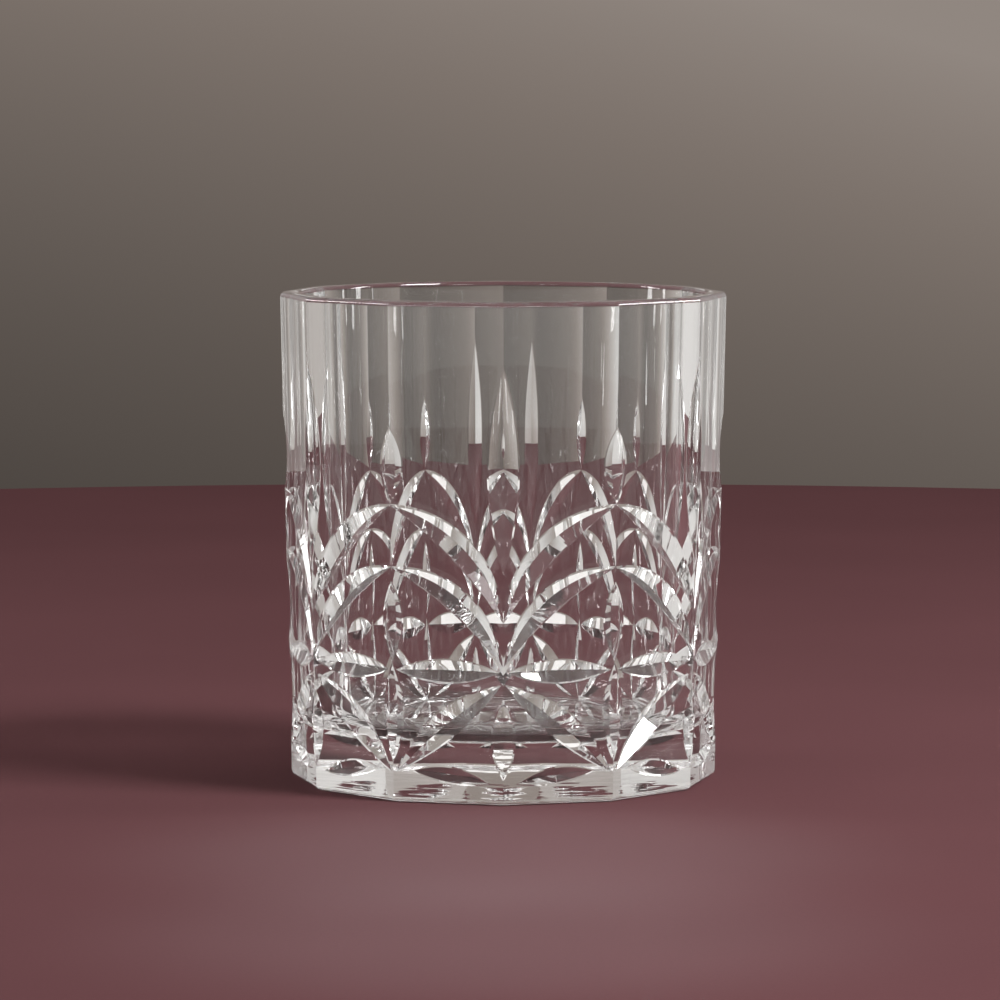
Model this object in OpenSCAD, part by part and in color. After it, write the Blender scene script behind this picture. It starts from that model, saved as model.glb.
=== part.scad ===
// Cut-glass whiskey tumbler: a twelve-sided tapered body with a round bore,
// a thick base and V-shaped wheel cuts in a band round the lower wall.
// Origin: centre of the underside. +Z up, and a crease faces -Y.

/* [Body] */
// Height from the table to the rim
height = 95; // [90:1:110]
// Width across opposite creases at the rim
rim_w = 87; // [86:0.5:90]
// Width across opposite creases at the base
base_w = 83; // [82:0.5:86]
// Radius of the rounding round the outside of the rim
rim_round = 1.2; // [0.8:0.1:1.4]
// Radius of the rounding round the foot
foot_round = 1.2; // [0.8:0.1:1.4]

/* [Bore] */
// Bore diameter at the rim
bore_top_d = 79; // [76:0.5:80]
// Bore diameter where the wall meets the floor rounding
bore_low_d = 74; // [70:0.5:75]
// Thickness of the glass under the bore
base_t = 11; // [10.5:0.5:14]
// Radius between the bore wall and the floor
floor_round = 5; // [3:0.5:7]
// Radius of the rounding round the inside of the rim
lip_round = 0.9; // [0.6:0.1:1]

/* [Cuts] */
// Slope of the flanks of a leaf, from the flat that it is cut in
leaf_flank = 36; // [30:1:37]
// Slope of the flanks of a petal, from the tangent at its crease
petal_flank = 30; // [25:1:31]

/* [Hidden] */
$fn = 96;

SIDES = 12;
STEP = 360 / SIDES;
HALF_STEP = STEP / 2;
// Azimuth of the crease at the front
FRONT = -90;
// How far a cutting shape runs on outside the glass
CLEAR = 0.4;
// How far the lip's circle runs past the faces it joins, so that it meets them at a slight angle
EASE = 0.05;
// How far each petal stands to one side of its crease, so that its tips end clear of the corner
PETAL_SHIFT = 0.04;
// Flats: distance from the axis at the table and at the rim
flat_low = base_w / 2 * cos(HALF_STEP);
flat_top = rim_w / 2 * cos(HALF_STEP);
flat_lean = atan((flat_top - flat_low) / height);
crease_lean = atan((rim_w - base_w) / 2 / height);
bore_lean = atan((bore_top_d - bore_low_d) / 2 / (height - base_t));

// Half width of a flat at height z
function half_flat(z) = (flat_low + (flat_top - flat_low) * z / height) * tan(HALF_STEP);
// A place on a flat: f is 0 at its long-petal crease and 1 at its short-petal crease
function on_flat(f, z) = [(2 * f - 1) * half_flat(z), z];

// Leaves on each flat: start [f, z], end [f, z], bulge of the valley, half width
LEAVES = [
    [[0.995, 56.4], [0.015, 35.0], -3.9, 2.45],
    [[0.995, 44.6], [0.020, 26.7], -3.7, 2.25],
    [[0.955, 25.3], [0.045, 25.3], 0, 2.2],
    [[0.965, 5.9], [0.030, 22.7], -1.0, 2.65],
    [[0.820, 6.1], [0.125, 4.0], -0.4, 1.5]
];
// Petals on the long-petal creases: low end, high end, half width
LONG_PETALS = [[4.9, 20.1, 2.2], [44.2, 82.4, 2.9]];
// Petals on the short-petal creases
SHORT_PETALS = [[7.9, 26.4, 2.05], [27.0, 41.9, 2.05], [56.6, 71.1, 2.3]];

// One pass of a V-edged wheel, from p0 to p1 on the local YZ plane with +X out of the glass.
// The valley bulges sideways by bulge and sinks by depth half way along.
module wheel_pass(p0, p1, bulge, depth, flank) {
    run = p1 - p0;
    mid = (p0 + p1) / 2;
    rise = norm([bulge, depth]);
    tilt = atan2(depth, bulge);
    wheel_r = (norm(run) * norm(run) / 4 + rise * rise) / (2 * rise);
    reach = (depth + CLEAR) / sin(flank);
    half_turn = asin((norm(run) / 2 + CLEAR) / wheel_r);
    translate([0, mid.x, mid.y])
        rotate([atan2(run.y, run.x), 0, 0])
            translate([-depth, 0, bulge])
                rotate([0, 90 - tilt, 0])
                    translate([wheel_r, 0, 0])
                        rotate([0, 0, 180 - half_turn])
                            rotate_extrude(angle = 2 * half_turn)
                                polygon([
                                    [wheel_r, 0],
                                    [wheel_r + reach * cos(tilt + flank), reach * sin(tilt + flank)],
                                    [wheel_r - reach * cos(tilt - flank), -reach * sin(tilt - flank)]
                                ]);
}

// Everything cut in one flat
module flat_leaves() {
    for (leaf = LEAVES)
        wheel_pass(
            on_flat(leaf[0].x, leaf[0].y),
            on_flat(leaf[1].x, leaf[1].y),
            leaf[2], leaf[3] * tan(leaf_flank), leaf_flank
        );
}

// The petals cut along one crease
module crease_petals(petals) {
    for (petal = petals)
        wheel_pass(
            [PETAL_SHIFT, petal[0]], [PETAL_SHIFT, petal[1]], 0,
            petal[2] * (tan(petal_flank) + tan(HALF_STEP)), petal_flank
        );
}

// Puts its children on a flat: +X out of the glass, +Z up the flat
module on_flat_at(azimuth) {
    rotate([0, 0, azimuth])
        translate([flat_low, 0, 0])
            rotate([0, flat_lean, 0])
                children();
}

// Puts its children on a crease: +X out of the glass, +Z up the crease
module on_crease_at(azimuth) {
    rotate([0, 0, azimuth])
        translate([base_w / 2, 0, 0])
            rotate([0, crease_lean, 0])
                children();
}

// What is ground away to leave one flat, with the roundings at its two ends
module flat_waste(azimuth) {
    over = (flat_top - flat_low) * CLEAR / height;
    rotate([90, 0, azimuth])
        linear_extrude(rim_w, center = true) {
            polygon([
                [flat_low - over, -CLEAR],
                [flat_top + over, height + CLEAR],
                [rim_w, height + CLEAR],
                [rim_w, -CLEAR]
            ]);
            translate([flat_top - rim_round, height - rim_round])
                corner_waste(rim_round);
            translate([flat_low - foot_round, foot_round])
                mirror([0, 1])
                    corner_waste(foot_round);
        }
}

// The corner outside a rounding, which is ground as three narrow bevels
module corner_waste(r) {
    polygon([
        [r, 0],
        [r * cos(30), r * sin(30)],
        [r * cos(60), r * sin(60)],
        [0, r],
        [0, r + CLEAR],
        [r + CLEAR, r + CLEAR],
        [r + CLEAR, 0]
    ]);
}

// The inside, open at the top
module bore() {
    // The wall leaves the floor rounding along its own slope
    ring_r = bore_low_d / 2 - floor_round;
    low_z = base_t + floor_round - floor_round * sin(bore_lean);
    low_r = ring_r + floor_round * cos(bore_lean);
    top_r = low_r + (height + CLEAR - low_z) * tan(bore_lean);
    translate([0, 0, low_z])
        cylinder(r1 = low_r, r2 = top_r, h = height + CLEAR - low_z);
    translate([0, 0, base_t])
        cylinder(r = ring_r, h = 2 * floor_round);
    translate([0, 0, base_t + floor_round])
        rotate_extrude()
            translate([ring_r, 0])
                circle(r = floor_round);
    // Rounding round the inside of the rim
    rim_r = low_r + (height - low_z) * tan(bore_lean);
    translate([0, 0, height - lip_round])
        rotate_extrude()
            difference() {
                translate([rim_r - CLEAR, 0])
                    square([lip_round + CLEAR, lip_round + CLEAR]);
                translate([rim_r + lip_round, 0])
                    circle(r = lip_round + EASE);
            }
}

// The plain glass before any cut
module blank() {
    difference() {
        cylinder(d = rim_w + 2, h = height);
        for (i = [0 : SIDES - 1])
            flat_waste(FRONT + HALF_STEP + i * STEP);
        bore();
    }
}

// The cuts round one long-petal crease: its petals, the leaves on the flats either side
// of it and the petals on the next short-petal crease
module cuts_at(crease) {
    on_flat_at(crease + HALF_STEP)
        flat_leaves();
    on_flat_at(crease - HALF_STEP)
        mirror([0, 1, 0])
            flat_leaves();
    on_crease_at(crease)
        crease_petals(LONG_PETALS);
    on_crease_at(crease + STEP)
        crease_petals(SHORT_PETALS);
}

// The glass after the cuts at the first few long-petal creases
module cut_glass(turns) {
    if (turns == 0)
        blank();
    else
        difference() {
            cut_glass(turns - 1);
            cuts_at(FRONT + turns * 2 * STEP);
        }
}

module tumbler() {
    color("whitesmoke", 0.35)
        cut_glass(SIDES / 2);
}

tumbler();
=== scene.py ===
"""Looks of the cut-glass tumbler: one clear, twelve-sided glass with V-shaped wheel cuts."""

import math

import bpy
from mathutils import Matrix, Vector


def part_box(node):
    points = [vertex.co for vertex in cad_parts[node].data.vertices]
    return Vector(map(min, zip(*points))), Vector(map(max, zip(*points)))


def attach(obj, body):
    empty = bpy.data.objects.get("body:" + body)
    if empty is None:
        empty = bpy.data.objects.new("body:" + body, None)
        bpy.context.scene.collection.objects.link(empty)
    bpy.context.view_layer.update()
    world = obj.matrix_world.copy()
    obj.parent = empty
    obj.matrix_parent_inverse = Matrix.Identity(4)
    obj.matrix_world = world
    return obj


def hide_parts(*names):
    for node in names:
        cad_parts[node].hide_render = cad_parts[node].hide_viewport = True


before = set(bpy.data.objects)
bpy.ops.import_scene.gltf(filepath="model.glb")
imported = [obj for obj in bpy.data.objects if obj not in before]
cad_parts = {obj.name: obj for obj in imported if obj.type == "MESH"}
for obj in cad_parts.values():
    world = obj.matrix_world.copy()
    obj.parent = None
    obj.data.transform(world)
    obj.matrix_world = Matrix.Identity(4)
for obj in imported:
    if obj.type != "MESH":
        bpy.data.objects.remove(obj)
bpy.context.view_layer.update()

bl_info = {
    "name": "Cut-glass tumbler",
    "version": (1, 0, 0),
    "blender": (4, 5, 0),
    "location": "View3D > Sidebar > Tumbler",
    "description": "Makes a clear cut-glass tumbler and the table that it stands on",
    "category": "Object",
}

MM = 0.001
SIDES = 12
STEP = math.tau / SIDES
# Azimuth of the crease at the front
FRONT = -math.pi / 2

# Leaves on each flat: start (f, z), end (f, z), bulge of the valley and half width. f is 0 at the
# flat's long-petal crease and 1 at its short-petal crease, and the rest is in mm.
LEAVES = [
    ((0.995, 56.4), (0.015, 35.0), -3.9, 2.45),
    ((0.995, 44.6), (0.020, 26.7), -3.7, 2.25),
    ((0.955, 25.3), (0.045, 25.3), 0.0, 2.2),
    ((0.965, 5.9), (0.030, 22.7), -1.0, 2.65),
    ((0.820, 6.1), (0.125, 4.0), -0.4, 1.5),
]
# Petals: low end, high end and half width in mm
LONG_PETALS = [(4.9, 20.1, 2.2), (44.2, 82.4, 2.9)]
SHORT_PETALS = [(7.9, 26.4, 2.05), (27.0, 41.9, 2.05), (56.6, 71.1, 2.3)]
# How far a wheel's V runs on outside the glass
WHEEL_CLEAR = 0.4 * MM
# How much longer the shallow pass that eases a cut's edges is than the cut
EASE_STRETCH = 1.03
# Steps in the roundings of the rim and foot, and in those of the bore
EDGE_STEPS = 8
BORE_STEPS = 12
BORE_SIDES = 240
# The bore's cutter leaves the rim over a short apron that starts just below it and rises outwards
APRON_START = 0.05 * MM
APRON_REACH = 1.4 * MM
APRON_RISE = 0.12 * MM
APRON_TOP = 1.0 * MM
# Edges that bend more than this stay crisp
CRISP_ANGLE = math.radians(18)

# The underside's ripples stop at the first of these heights, and its scuffs fade out by the second
UNDERSIDE_BAND = 0.3 * MM
SCUFF_BAND = 0.6 * MM
# Roughness that the smudges on the glass reach
SMUDGE_ROUGHNESS = 0.02
FILM_COLOUR = (0.8, 0.78, 0.76, 1.0)
WHITE = (1.0, 1.0, 1.0, 1.0)
# The table's colour swings between these shares of itself
TABLE_DARK = 0.86
TABLE_LIGHT = 1.3
TABLE_THICKNESS = 0.03
TABLE_GAP = 0.1 * MM
TABLE_SIDES = 128

# The world, by the parts of a sight line's direction: how far below the horizon the wall has its own
# level, how far to the side the pale screens fade in and how far forward the wall gives way to the
# room. The last pair is the brightness over which the colours turn pale.
WALL_REFERENCE = 0.043
SCREEN_FADE = (0.11, 0.5)
ROOM_FADE = (0.35, -0.25)
PALE_FADE = (0.2, 0.6)
PALE_COLOUR = (1.0, 0.97, 0.94, 1.0)
# Soft lights: name, place, width and height in metres and power in watts. All face AIM.
AIM = (0, 0, 0.05)
SOFTBOXES = [
    ("softbox_right", (0.62, -0.36, 0.75), 0.3, 0.3, 20.0),
    ("softbox_side", (0.80, 0.10, 0.30), 0.12, 0.5, 4.0),
    ("softbox_left", (-0.80, 0.15, 0.30), 0.12, 0.5, 3.0),
    ("softbox_back", (0.0, 1.3, 0.45), 0.5, 0.25, 0.3),
    ("softbox_front_right", (0.45, -0.95, 0.62), 0.25, 0.25, 1.2),
    ("softbox_front_left", (-0.50, -0.95, 0.55), 0.2, 0.2, 0.6),
]
# Pools of cool light on the table in front of the glass: y in metres and power in watts
POOLS = [(-0.10, 66.0), (-0.18, 56.0)]
POOL_COLOUR = (0.48, 1.0, 0.94)
POOL_LAMP_HEIGHT = 1.0
POOL_LAMP_RADIUS = 0.02
POOL_SPREAD = math.radians(8.5)
# The camera looks at a point a little above the middle of the glass
SENSOR_MM = 36
LENS_MM = 184.7
CAMERA_TARGET = Vector((-0.000632, 0, 0.054154))
CAMERA_DISTANCE = 1.003
CAMERA_ELEVATION = math.radians(5.146)
CLIP_END = 20
# Light passes through many faces of the glass before it leaves it
GLASS_BOUNCES = 24
GLOSSY_BOUNCES = 12


# ---------------------------------------------------------------- node helpers


class Wire:
    """A node socket that arithmetic can be written with."""

    def __init__(self, tree, socket):
        self.tree = tree
        self.socket = socket

    def _math(self, operation, *values):
        return self.tree.node("ShaderNodeMath", {"operation": operation}, values)

    def __add__(self, other):
        return self._math("ADD", self, other)

    __radd__ = __add__

    def __sub__(self, other):
        return self._math("SUBTRACT", self, other)

    def __rsub__(self, other):
        return self._math("SUBTRACT", other, self)

    def __mul__(self, other):
        return self._math("MULTIPLY", self, other)

    __rmul__ = __mul__

    def __truediv__(self, other):
        return self._math("DIVIDE", self, other)

    def __gt__(self, other):
        return self._math("GREATER_THAN", self, other)

    def __lt__(self, other):
        return self._math("LESS_THAN", self, other)

    def function(self, operation):
        return self._math(operation, self)

    def at_most(self, other):
        return self._math("MINIMUM", self, other)


class Tree:
    """Adds nodes to a node tree, each with its settings and then the values or links of its inputs."""

    def __init__(self, nodes_owner):
        self.owner = nodes_owner

    def node(self, kind, settings=None, inputs=(), out=0):
        made = self.owner.nodes.new(kind)
        for key, value in (settings or {}).items():
            if key == "items":
                for _ in range(value - len(made.index_switch_items)):
                    made.index_switch_items.new()
            else:
                setattr(made, key, value)
        pairs = inputs.items() if isinstance(inputs, dict) else enumerate(inputs)
        for key, value in pairs:
            for item in value if isinstance(value, list) else [value]:
                self._feed(made.inputs[key], item)
        return Wire(self, made.outputs[out]) if made.outputs else made

    def _feed(self, socket, value):
        if isinstance(value, Wire):
            self.owner.links.new(value.socket, socket)
        elif value is not None:
            socket.default_value = value

    def sibling(self, wire, name):
        """Another output of the node that a wire comes from."""
        return Wire(self, wire.socket.node.outputs[name])

    def fade(self, wire, source, target=(0.0, 1.0), curve="LINEAR"):
        """Carries a value from one range over to another and holds it within that."""
        return self.node(
            "ShaderNodeMapRange", {"clamp": True, "interpolation_type": curve},
            {
                "Value": wire, "From Min": source[0], "From Max": source[1],
                "To Min": target[0], "To Max": target[1],
            },
        )

    def noise(self, place, scale, detail, roughness):
        """Noise at a place, finer with a larger scale."""
        return self.node(
            "ShaderNodeTexNoise",
            inputs={"Vector": place, "Scale": scale, "Detail": detail, "Roughness": roughness},
        )


def geometry_tree(name, sizes):
    """A Geometry Nodes tree with a geometry output and one named input for each size."""
    owner = bpy.data.node_groups.new(name, "GeometryNodeTree")
    owner.interface.new_socket(name="Geometry", in_out="OUTPUT", socket_type="NodeSocketGeometry")
    kinds = {float: "NodeSocketFloat", int: "NodeSocketInt", tuple: "NodeSocketVector"}
    for label, value in sizes.items():
        kind = kinds.get(type(value), "NodeSocketMaterial")
        socket = owner.interface.new_socket(name=label, in_out="INPUT", socket_type=kind)
        if kind != "NodeSocketMaterial":
            socket.default_value = value
    tree = Tree(owner)
    entry = owner.nodes.new("NodeGroupInput")
    given = {label: Wire(tree, entry.outputs[label]) for label in sizes}
    return tree, given


def close_tree(tree, geometry):
    """Links the last geometry to the tree's output and gives the tree."""
    leave = tree.owner.nodes.new("NodeGroupOutput")
    tree.owner.links.new(geometry.socket, leave.inputs[0])
    return tree.owner


def plain_mesh(name, tree, sizes):
    """Runs a Geometry Nodes tree once on an empty mesh and keeps its result as a plain object."""
    carrier = bpy.data.objects.new(name + "_carrier", bpy.data.meshes.new(name + "_carrier"))
    bpy.context.scene.collection.objects.link(carrier)
    modifier = carrier.modifiers.new("Shape", "NODES")
    modifier.node_group = tree
    for item in tree.interface.items_tree:
        if item.in_out == "INPUT" and item.name in sizes:
            modifier[item.identifier] = sizes[item.name]
    carrier.update_tag()
    depsgraph = bpy.context.evaluated_depsgraph_get()
    depsgraph.update()
    mesh = bpy.data.meshes.new_from_object(carrier.evaluated_get(depsgraph))
    if not mesh.polygons:
        raise RuntimeError(f"the nodes of {name} made no faces")
    bpy.data.objects.remove(carrier)
    mesh.name = name
    made = bpy.data.objects.new(name, mesh)
    bpy.context.scene.collection.objects.link(made)
    return made


# ------------------------------------------------------------------ properties

CAD_LOW, CAD_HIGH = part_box("tumbler")


class TumblerShape(bpy.types.PropertyGroup):
    """Sizes of the tumbler"""

    height: bpy.props.FloatProperty(
        name="Height", description="From the table to the rim", default=CAD_HIGH.z, unit="LENGTH"
    )
    rim_width: bpy.props.FloatProperty(
        name="Rim width", description="Across opposite creases at the rim",
        default=CAD_HIGH.x - CAD_LOW.x, unit="LENGTH",
    )
    base_width: bpy.props.FloatProperty(
        name="Base width", description="Across opposite creases at the foot", default=0.083, unit="LENGTH"
    )
    rim_round: bpy.props.FloatProperty(
        name="Rim rounding", description="Radius round the outside of the rim", default=0.0011, unit="LENGTH"
    )
    foot_round: bpy.props.FloatProperty(
        name="Foot rounding", description="Radius round the foot", default=0.0011, unit="LENGTH"
    )
    lip_round: bpy.props.FloatProperty(
        name="Lip rounding", description="Radius round the inside of the rim", default=0.0008, unit="LENGTH"
    )
    bore_top: bpy.props.FloatProperty(
        name="Bore at the rim", description="Diameter of the bore at the rim", default=0.079, unit="LENGTH"
    )
    bore_low: bpy.props.FloatProperty(
        name="Bore at the floor", description="Diameter of the bore above its floor rounding",
        default=0.074, unit="LENGTH",
    )
    base_thickness: bpy.props.FloatProperty(
        name="Base thickness", description="Glass under the bore", default=0.011, unit="LENGTH"
    )
    floor_round: bpy.props.FloatProperty(
        name="Floor rounding", description="Radius between the bore wall and its floor",
        default=0.005, unit="LENGTH",
    )
    edge_ease: bpy.props.FloatProperty(
        name="Edge easing", description="How far the softened edge of a cut reaches past it",
        default=0.00018, unit="LENGTH",
    )
    leaf_flank: bpy.props.FloatProperty(
        name="Leaf flank", description="Slope of a leaf's flanks from its flat",
        default=math.radians(36), subtype="ANGLE",
    )
    petal_flank: bpy.props.FloatProperty(
        name="Petal flank", description="Slope of a petal's flanks from the tangent at its crease",
        default=math.radians(30), subtype="ANGLE",
    )


class GlassLook(bpy.types.PropertyGroup):
    """Finish of the glass"""

    tint: bpy.props.FloatVectorProperty(
        name="Tint", description="Colour that the glass lets through",
        default=(0.985, 0.99, 0.99), subtype="COLOR", size=3, min=0, max=1,
    )
    ior: bpy.props.FloatProperty(
        name="Refractive index", description="How strongly the glass bends light", default=1.5, min=1, max=2
    )
    wave: bpy.props.FloatProperty(
        name="Waviness", description="Height of the moulding waves in the walls",
        default=0.00002, unit="LENGTH",
    )
    under_ripple: bpy.props.FloatProperty(
        name="Underside ripple",
        description="Depth of the underside's ripples, as a multiple of the waviness",
        default=9.0, min=0,
    )
    film: bpy.props.FloatProperty(
        name="Film", description="How much of the light is caught by a faint pale film on the surface",
        default=0.005, min=0, max=1, subtype="FACTOR",
    )
    foot_wear: bpy.props.FloatProperty(
        name="Foot wear", description="Roughness of the scuffed underside",
        default=0.03, min=0, max=1, subtype="FACTOR",
    )


class StageLook(bpy.types.PropertyGroup):
    """The table, the wall behind it and the light"""

    table_colour: bpy.props.FloatVectorProperty(
        name="Table colour", description="Colour of the matt table top",
        default=(0.059, 0.0245, 0.0268), subtype="COLOR", size=3, min=0, max=1,
    )
    table_sheen: bpy.props.FloatProperty(
        name="Table sheen", description="Share of light that the table reflects like satin",
        default=0.007, min=0, max=1, subtype="FACTOR",
    )
    wall_colour: bpy.props.FloatVectorProperty(
        name="Wall colour", description="Tone of the wall behind the table",
        default=(1.0, 0.835, 0.73), subtype="COLOR", size=3, min=0, max=1,
    )
    wall_level: bpy.props.FloatProperty(
        name="Wall level", description="Brightness of the wall behind the glass", default=0.15, min=0
    )
    wall_upwards: bpy.props.FloatProperty(
        name="Wall upwards", description="How fast the wall brightens upwards", default=9.7
    )
    wall_sideways: bpy.props.FloatProperty(
        name="Wall sideways", description="How fast the wall brightens to the right", default=2.6
    )
    flank_level: bpy.props.FloatProperty(
        name="Flank level", description="Brightness of the pale screens to the left and right",
        default=0.45, min=0,
    )
    studio_level: bpy.props.FloatProperty(
        name="Studio level", description="Brightness that the wall reaches high up", default=0.28, min=0
    )
    room_level: bpy.props.FloatProperty(
        name="Room level", description="Brightness of the room in front of the glass", default=0.6, min=0
    )
    table_radius: bpy.props.FloatProperty(
        name="Table radius", description="Radius of the table top", default=0.662, unit="LENGTH"
    )


# ------------------------------------------------------------------- materials


def new_material(name):
    """An empty node material and its tree."""
    material = bpy.data.materials.new(name)
    material.use_nodes = True
    material.node_tree.nodes.clear()
    return material, Tree(material.node_tree)


def finish_material(material, tree, surface):
    """Links a shader to the material's output and gives the material."""
    leave = material.node_tree.nodes.new("ShaderNodeOutputMaterial")
    tree.owner.links.new(surface.socket, leave.inputs["Surface"])
    return material


def glass_material(look):
    """Clear polished glass with faint moulding waves, light smudges and a scuffed underside."""
    material, tree = new_material("clear_glass")
    place = tree.node("ShaderNodeTexCoord", out="Object")
    height = tree.node("ShaderNodeSeparateXYZ", inputs=[place], out="Z")
    drawn = tree.node("ShaderNodeMapping", inputs={"Vector": place, "Scale": (1.0, 1.0, 0.06)})
    waves = tree.noise(drawn, 150.0, 1.0, 0.4)
    ripple = tree.noise(place, 105.0, 1.0, 0.5)
    # The underside carries deeper ripples than the walls
    under = height < UNDERSIDE_BAND
    bumped = tree.node(
        "ShaderNodeBump",
        inputs={
            "Strength": 1.0, "Distance": look.wave,
            "Height": waves + ripple * under * look.under_ripple,
        },
    )
    specks = tree.noise(place, 900.0, 2.0, 0.6)
    foot = tree.fade(height, (0.0, SCUFF_BAND), (1.0, 0.0))
    wear = foot * specks * look.foot_wear
    smudge = tree.noise(place, 38.0, 3.0, 0.5)
    haze = tree.fade(smudge, (0.45, 0.8), (0.0, SMUDGE_ROUGHNESS))
    clear = tree.node(
        "ShaderNodeBsdfPrincipled",
        inputs={
            "Base Color": (*look.tint, 1.0),
            "Roughness": wear + haze,
            "IOR": look.ior,
            "Transmission Weight": 1.0,
            "Normal": bumped,
        },
    )
    film = tree.node("ShaderNodeBsdfDiffuse", inputs={"Color": FILM_COLOUR})
    surface = tree.node("ShaderNodeMixShader", inputs=[look.film, clear, film])
    return finish_material(material, tree, surface)


def table_material(look):
    """Matt painted board with a fine grain and a broad soft sheen."""
    material, tree = new_material("table_paint")
    place = tree.node("ShaderNodeTexCoord", out="Object")
    grain = tree.noise(place, 1400.0, 3.0, 0.6)
    cloud = tree.noise(place, 9.0, 2.0, 0.5)
    dark = tuple(c * TABLE_DARK for c in look.table_colour)
    light = tuple(c * TABLE_LIGHT for c in look.table_colour)
    colour = tree.node(
        "ShaderNodeMix", {"data_type": "RGBA"},
        {0: (grain + cloud) * 0.5, 6: (*dark, 1.0), 7: (*light, 1.0)}, out=2,
    )
    bumped = tree.node(
        "ShaderNodeBump", inputs={"Strength": 0.25, "Distance": 0.00006, "Height": grain}
    )
    paint = tree.node(
        "ShaderNodeBsdfPrincipled",
        inputs={"Base Color": colour, "Roughness": 0.7, "Specular IOR Level": 0.0, "Normal": bumped},
    )
    gloss = tree.node("ShaderNodeBsdfAnisotropic", inputs={"Color": WHITE, "Roughness": 0.36})
    surface = tree.node("ShaderNodeMixShader", inputs=[look.table_sheen, paint, gloss])
    return finish_material(material, tree, surface)


# --------------------------------------------------------------------- tumbler


def stood_on(azimuth, reach, lean):
    """Placement of a leaning face or edge: +X out of the glass and +Z up it."""
    turn = Matrix.Rotation(azimuth, 4, "Z")
    return turn @ Matrix.Translation((reach, 0, 0)) @ Matrix.Rotation(lean, 4, "Y")


def half_flat(shape, z):
    """Half width of a flat at height z."""
    radius = shape.base_width / 2 + (shape.rim_width - shape.base_width) / 2 * z / shape.height
    return radius * math.sin(STEP / 2)


def on_flat(shape, azimuth):
    """Placement of the flat at an azimuth."""
    rise = (shape.rim_width - shape.base_width) / 2 * math.cos(STEP / 2)
    lean = math.atan(rise / shape.height)
    return stood_on(azimuth, shape.base_width / 2 * math.cos(STEP / 2), lean)


def on_crease(shape, azimuth):
    """Placement of the crease at an azimuth."""
    lean = math.atan((shape.rim_width - shape.base_width) / 2 / shape.height)
    return stood_on(azimuth, shape.base_width / 2, lean)


def wheel_pass(ground, start, end, bulge, depth, flank):
    """The inputs of a wheel cut for one pass of a V-edged wheel between two points of a flat or crease.

    The valley bulges sideways by bulge and sinks by depth half way along.
    """
    run = Vector(end) - Vector(start)
    middle = (Vector(end) + Vector(start)) / 2
    rise = math.hypot(bulge, depth)
    tilt = math.atan2(depth, bulge)
    wheel = (run.length_squared / 4 + rise * rise) / (2 * rise)
    reach = (depth + WHEEL_CLEAR) / math.sin(flank)
    half_turn = math.asin((run.length / 2 + WHEEL_CLEAR) / wheel)
    near = (reach * math.cos(tilt + flank), 0.0, reach * math.sin(tilt + flank))
    far = (-reach * math.cos(tilt - flank), 0.0, -reach * math.sin(tilt - flank))
    # Swapped where that would turn the bar inside out
    if near[0] * far[2] - near[2] * far[0] > 0:
        near, far = far, near
    place = (
        ground
        @ Matrix.Translation((0, middle.x, middle.y))
        @ Matrix.Rotation(math.atan2(run.y, run.x), 4, "X")
        @ Matrix.Translation((-depth, 0, bulge))
        @ Matrix.Rotation(math.pi / 2 - tilt, 4, "Y")
        @ Matrix.Translation((wheel, 0, 0))
        @ Matrix.Rotation(math.pi, 4, "Z")
    )
    return {
        "Wheel Radius": wheel,
        "Turn": 2 * half_turn,
        "Near Flank": near,
        "Far Flank": far,
        "Place": tuple(place.to_translation()),
        "Turned": tuple(place.to_euler()),
    }


def all_passes(shape):
    """Every wheel pass of one sixth of the glass.

    Each cut is followed by a wider and shallower pass that eases its edges.
    """
    passes = []
    leaf_rounds = ((0, shape.leaf_flank, 1), (shape.edge_ease, shape.leaf_flank / 2, EASE_STRETCH))
    for *places, bulge, half_width in LEAVES:
        for side in (1, -1):
            ground = on_flat(shape, FRONT + side * STEP / 2)
            ends = [Vector((side * (2 * f - 1) * half_flat(shape, z * MM), z * MM)) for f, z in places]
            for grow, flank, spread in leaf_rounds:
                depth = (half_width * MM + grow) * math.tan(flank)
                passes.append(wheel_pass(ground, *spaced(ends, spread), side * bulge * MM, depth, flank))
    eased_flank = (shape.petal_flank - STEP / 2) / 2
    petal_rounds = ((0, shape.petal_flank, 1), (shape.edge_ease, eased_flank, EASE_STRETCH))
    for petals, azimuth in ((LONG_PETALS, FRONT), (SHORT_PETALS, FRONT + STEP)):
        ground = on_crease(shape, azimuth)
        for low, high, half_width in petals:
            ends = [Vector((0, low * MM)), Vector((0, high * MM))]
            for grow, flank, spread in petal_rounds:
                depth = (half_width * MM + grow) * (math.tan(flank) + math.tan(STEP / 2))
                passes.append(wheel_pass(ground, *spaced(ends, spread), 0, depth, flank))
    return passes


def spaced(ends, spread):
    """Two ends moved apart about their middle."""
    middle = (ends[0] + ends[1]) / 2
    return [middle + (end - middle) * spread for end in ends]


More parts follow.
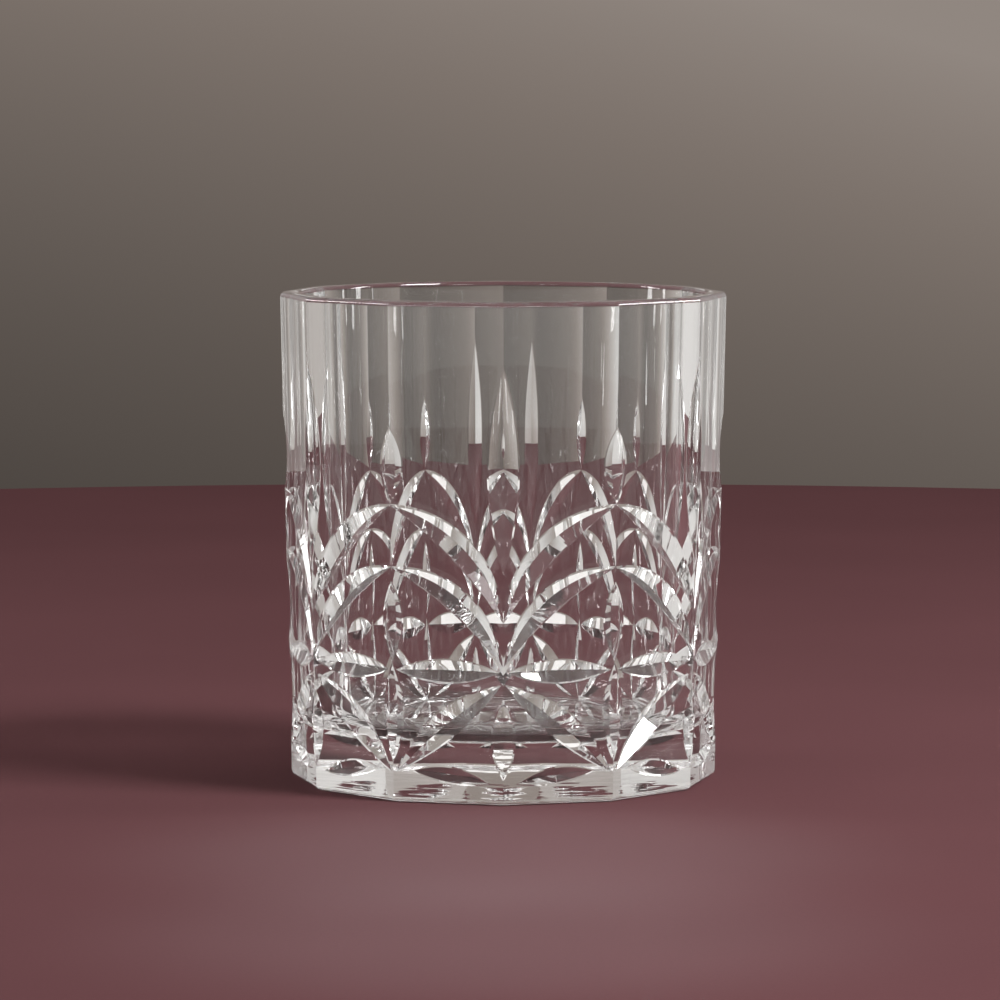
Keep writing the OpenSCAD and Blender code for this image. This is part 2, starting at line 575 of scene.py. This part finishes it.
def wheel_cut_tree():
    """The room that one wheel pass takes out: a curved bar of V section, repeated round the glass."""
    sizes = {
        "Wheel Radius": 0.02, "Turn": 1.0, "Near Flank": (0.0, 0.0, 0.0), "Far Flank": (0.0, 0.0, 0.0),
        "Place": (0.0, 0.0, 0.0), "Turned": (0.0, 0.0, 0.0), "Segments": 48, "Repeats": SIDES // 2,
    }
    tree, given = geometry_tree("Wheel cut", sizes)
    bar = tree.node(
        "GeometryNodeMeshCylinder", {"fill_type": "NGON"},
        {"Vertices": 3, "Side Segments": given["Segments"], "Radius": 1.0, "Depth": 1.0},
    )
    corner = tree.node("GeometryNodeInputPosition")
    along = tree.node("ShaderNodeSeparateXYZ", inputs=[corner], out="Z")
    across = tree.sibling(along, "Y")
    is_near = across > 0.5
    is_far = across < -0.5
    near = tree.node("ShaderNodeSeparateXYZ", inputs=[given["Near Flank"]])
    far = tree.node("ShaderNodeSeparateXYZ", inputs=[given["Far Flank"]])
    radius = given["Wheel Radius"] + is_near * near + is_far * far
    axial = is_near * tree.sibling(near, "Z") + is_far * tree.sibling(far, "Z")
    angle = along * given["Turn"]
    bent = tree.node(
        "ShaderNodeCombineXYZ",
        inputs=[radius * angle.function("COSINE"), radius * angle.function("SINE"), axial],
    )
    curved = tree.node("GeometryNodeSetPosition", inputs={"Geometry": bar, "Position": bent})
    placed = tree.node(
        "GeometryNodeTransform",
        inputs={"Geometry": curved, "Translation": given["Place"], "Rotation": given["Turned"]},
    )
    centres = tree.node("GeometryNodePoints", inputs={"Count": given["Repeats"]})
    turn = tree.node("GeometryNodeInputIndex") * math.tau / given["Repeats"]
    spun = tree.node("ShaderNodeCombineXYZ", inputs=[0.0, 0.0, turn])
    ring = tree.node(
        "GeometryNodeInstanceOnPoints", inputs={"Points": centres, "Instance": placed, "Rotation": spun}
    )
    return close_tree(tree, ring)


def lathe(tree, corners, sides, arc_steps):
    """A closed solid turned from an outline.

    corners are (radius, height, fillet) up the outline, each a number or a wire.
    """
    count = len(corners)
    index = tree.node("GeometryNodeInputIndex")
    chain = tree.node("GeometryNodeMeshLine", inputs={"Count": count})
    spots = [tree.node("ShaderNodeCombineXYZ", inputs=[r, 0.0, z]) for r, z, _ in corners]
    picked = tree.node(
        "GeometryNodeIndexSwitch", {"data_type": "VECTOR", "items": count}, [index, *spots]
    )
    bent = tree.node("GeometryNodeSetPosition", inputs={"Geometry": chain, "Position": picked})
    line = tree.node("GeometryNodeMeshToCurve", inputs={"Mesh": bent})
    fillets = tree.node(
        "GeometryNodeIndexSwitch", {"data_type": "FLOAT", "items": count},
        [index, *(fillet for _, _, fillet in corners)],
    )
    outline = tree.node(
        "GeometryNodeFilletCurve", {"mode": "POLY"},
        {"Curve": line, "Count": arc_steps, "Radius": fillets, "Limit Radius": False},
    )
    points = tree.node("GeometryNodeAttributeDomainSize", {"component": "CURVE"}, [outline])
    drum = tree.node(
        "GeometryNodeMeshCylinder", {"fill_type": "NGON"},
        {"Vertices": sides, "Side Segments": points - 1.0, "Radius": 1.0, "Depth": 1.0},
    )
    corner = tree.node("GeometryNodeInputPosition")
    x = tree.node("ShaderNodeSeparateXYZ", inputs=[corner])
    ring = ((tree.sibling(x, "Z") + 0.5) * (points - 1.0)).function("ROUND")
    spot = tree.node(
        "GeometryNodeSampleIndex", {"data_type": "FLOAT_VECTOR", "domain": "POINT"},
        {"Geometry": outline, "Value": corner, "Index": ring},
    )
    radius = tree.node("ShaderNodeSeparateXYZ", inputs=[spot])
    turned = tree.node(
        "ShaderNodeCombineXYZ", inputs=[x * radius, tree.sibling(x, "Y") * radius, tree.sibling(radius, "Z")]
    )
    return tree.node("GeometryNodeSetPosition", inputs={"Geometry": drum, "Position": turned})


def tumbler_tree(shape, sizes, cutter):
    """The whole glass: twelve-sided blank, round bore and every wheel cut taken out of it."""
    tree, given = geometry_tree("Tumbler", sizes)
    foot = given["Base Width"] / 2
    rim = given["Rim Width"] / 2
    top = given["Height"]
    blank = lathe(tree, [
        (foot * 0.5, 0.0, 0.0),
        (foot, 0.0, given["Foot Round"]),
        (rim, top, given["Rim Round"]),
        (rim * 0.5, top, 0.0),
    ], SIDES, EDGE_STEPS)
    floor = given["Base Thickness"]
    low = given["Bore Low"] / 2
    lip = given["Bore Top"] / 2
    # The apron rises a little outwards, so that it crosses the rim at an angle
    bore = lathe(tree, [
        (low * 0.25, floor, 0.0),
        (low, floor, given["Floor Round"]),
        (lip, top - APRON_START, given["Lip Round"]),
        (lip + APRON_REACH, top + APRON_RISE, 0.0),
        (lip + APRON_REACH, top + APRON_TOP, 0.0),
    ], BORE_SIDES, BORE_STEPS)
    cuts = [
        tree.node("GeometryNodeGroup", {"node_tree": cutter}, dict(one)) for one in all_passes(shape)
    ]
    cut = tree.node(
        "GeometryNodeMeshBoolean", {"operation": "DIFFERENCE", "solver": "MANIFOLD"},
        {0: blank, 1: [bore] + cuts},
    )
    smooth = tree.node(
        "GeometryNodeSetShadeSmooth", {"domain": "FACE"}, {"Geometry": cut, "Shade Smooth": True}
    )
    bend = tree.node("GeometryNodeInputMeshEdgeAngle")
    soft = bend < given["Crisp Angle"]
    crisp = tree.node(
        "GeometryNodeSetShadeSmooth", {"domain": "EDGE"}, {"Geometry": smooth, "Shade Smooth": soft}
    )
    whole = tree.node("GeometryNodeRealizeInstances", inputs={"Geometry": crisp})
    finished = tree.node(
        "GeometryNodeSetMaterial", inputs={"Geometry": whole, "Material": given["Glass"]}
    )
    return close_tree(tree, finished)


class OBJECT_OT_make_tumbler(bpy.types.Operator):
    """Make the cut-glass tumbler"""

    bl_idname = "object.make_tumbler"
    bl_label = "Tumbler"
    bl_options = {"REGISTER", "UNDO"}

    def execute(self, context):
        shape = context.scene.tumbler_shape
        sizes = {
            "Height": shape.height, "Rim Width": shape.rim_width, "Base Width": shape.base_width,
            "Rim Round": shape.rim_round, "Foot Round": shape.foot_round, "Lip Round": shape.lip_round,
            "Bore Top": shape.bore_top, "Bore Low": shape.bore_low,
            "Base Thickness": shape.base_thickness, "Floor Round": shape.floor_round,
            "Crisp Angle": CRISP_ANGLE, "Glass": glass_material(context.scene.glass_look),
        }
        tree = tumbler_tree(shape, sizes, wheel_cut_tree())
        made = plain_mesh("cut_glass_tumbler", tree, sizes)
        even = made.modifiers.new("Even normals", "WEIGHTED_NORMAL")
        even.mode = "FACE_AREA"
        even.keep_sharp = True
        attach(made, "root")
        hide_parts("tumbler")
        return {"FINISHED"}


# ----------------------------------------------------------------------- stage


def disc(name, radius, thickness, material):
    """A flat round slab with its top at z = 0."""
    sides = TABLE_SIDES
    angles = [math.tau * i / sides for i in range(sides)]
    ring = [(radius * math.cos(angle), radius * math.sin(angle)) for angle in angles]
    verts = [(x, y, 0.0) for x, y in ring] + [(x, y, -thickness) for x, y in ring]
    faces = [list(range(sides)), list(range(2 * sides - 1, sides - 1, -1))]
    faces += [[i, i + sides, (i + 1) % sides + sides, (i + 1) % sides] for i in range(sides)]
    mesh = bpy.data.meshes.new(name)
    mesh.from_pydata(verts, [], faces)
    mesh.materials.append(material)
    made = bpy.data.objects.new(name, mesh)
    bpy.context.scene.collection.objects.link(made)
    return made


def softbox(name, place, width, height, power):
    """A rectangular soft light that faces the glass."""
    light = bpy.data.lights.new(name, "AREA")
    light.shape = "RECTANGLE"
    light.size = width
    light.size_y = height
    light.energy = power
    made = bpy.data.objects.new(name, light)
    made.location = place
    made.rotation_euler = (Vector(AIM) - Vector(place)).to_track_quat("-Z", "Y").to_euler()
    bpy.context.scene.collection.objects.link(made)


def pool(depth, power):
    """A small round pool of cool light on the table in front of the glass."""
    light = bpy.data.lights.new("pool", "SPOT")
    light.energy = power
    light.color = POOL_COLOUR
    light.spot_size = POOL_SPREAD
    light.spot_blend = 1.0
    light.shadow_soft_size = POOL_LAMP_RADIUS
    made = bpy.data.objects.new("pool", light)
    made.location = (0.0, depth, POOL_LAMP_HEIGHT)
    bpy.context.scene.collection.objects.link(made)


def wall(look):
    """The studio round the table, as the world.

    A plain wall brightens upwards and to the right, between pale screens, with a pale room in front.
    """
    world = bpy.data.worlds.new("wall")
    bpy.context.scene.world = world
    world.use_nodes = True
    world.node_tree.nodes.clear()
    tree = Tree(world.node_tree)
    way = tree.node("ShaderNodeTexCoord", out="Generated")
    east = tree.node("ShaderNodeSeparateXYZ", inputs=[way])
    north = tree.sibling(east, "Y")
    up = tree.sibling(east, "Z")
    slope = east * look.wall_sideways + (up + WALL_REFERENCE) * look.wall_upwards
    plain = slope.function("EXPONENT") * look.wall_level
    screens = tree.fade(east.function("ABSOLUTE"), SCREEN_FADE, curve="SMOOTHSTEP")
    behind = plain.at_most(look.studio_level) + screens * look.flank_level
    toward = tree.fade(north, ROOM_FADE)
    strength = behind * (1 - toward) + toward * look.room_level
    paleness = tree.fade(strength, PALE_FADE)
    colour = tree.node(
        "ShaderNodeMix", {"data_type": "RGBA"},
        {0: paleness, 6: (*look.wall_colour, 1.0), 7: PALE_COLOUR}, out=2,
    )
    glow = tree.node("ShaderNodeBackground", inputs={"Color": colour, "Strength": strength})
    leave = world.node_tree.nodes.new("ShaderNodeOutputWorld")
    tree.owner.links.new(glow.socket, leave.inputs["Surface"])


def camera():
    """The scene's camera, a little above the rim and looking slightly down."""
    lens = bpy.data.cameras.new("camera")
    lens.sensor_width = SENSOR_MM
    lens.lens = LENS_MM
    lens.clip_end = CLIP_END
    made = bpy.data.objects.new("camera", lens)
    back = Vector((0, -math.cos(CAMERA_ELEVATION), math.sin(CAMERA_ELEVATION)))
    made.location = CAMERA_TARGET + CAMERA_DISTANCE * back
    made.rotation_euler = (math.pi / 2 - CAMERA_ELEVATION, 0, 0)
    bpy.context.scene.collection.objects.link(made)
    bpy.context.scene.camera = made


class OBJECT_OT_make_tumbler_stage(bpy.types.Operator):
    """Make the table, the wall's colour, the soft lights and the camera"""

    bl_idname = "object.make_tumbler_stage"
    bl_label = "Stage"
    bl_options = {"REGISTER", "UNDO"}

    def execute(self, context):
        look = context.scene.stage_look
        table = disc("table_top", look.table_radius, TABLE_THICKNESS, table_material(look))
        table.location.z = -TABLE_GAP
        wall(look)
        for box in SOFTBOXES:
            softbox(*box)
        for depth, power in POOLS:
            pool(depth, power)
        camera()
        cycles = context.scene.cycles
        cycles.max_bounces = GLASS_BOUNCES
        cycles.transmission_bounces = GLASS_BOUNCES
        cycles.glossy_bounces = GLOSSY_BOUNCES
        context.scene.view_settings.view_transform = "Standard"
        return {"FINISHED"}


class VIEW3D_PT_tumbler(bpy.types.Panel):
    """Lists what a user can change and make"""

    bl_label = "Cut-glass tumbler"
    bl_idname = "VIEW3D_PT_tumbler"
    bl_space_type = "VIEW_3D"
    bl_region_type = "UI"
    bl_category = "Tumbler"

    def draw(self, context):
        for group in (context.scene.tumbler_shape, context.scene.glass_look, context.scene.stage_look):
            box = self.layout.box()
            for name in type(group).__annotations__:
                box.prop(group, name)
        self.layout.operator(OBJECT_OT_make_tumbler.bl_idname)
        self.layout.operator(OBJECT_OT_make_tumbler_stage.bl_idname)


CLASSES = (
    TumblerShape,
    GlassLook,
    StageLook,
    OBJECT_OT_make_tumbler,
    OBJECT_OT_make_tumbler_stage,
    VIEW3D_PT_tumbler,
)


def register():
    for item in CLASSES:
        bpy.utils.register_class(item)
    bpy.types.Scene.tumbler_shape = bpy.props.PointerProperty(type=TumblerShape)
    bpy.types.Scene.glass_look = bpy.props.PointerProperty(type=GlassLook)
    bpy.types.Scene.stage_look = bpy.props.PointerProperty(type=StageLook)


def unregister():
    del bpy.types.Scene.stage_look
    del bpy.types.Scene.glass_look
    del bpy.types.Scene.tumbler_shape
    for item in reversed(CLASSES):
        bpy.utils.unregister_class(item)


def main():
    register()
    bpy.ops.object.make_tumbler()
    bpy.ops.object.make_tumbler_stage()


if __name__ == "__main__":
    main()
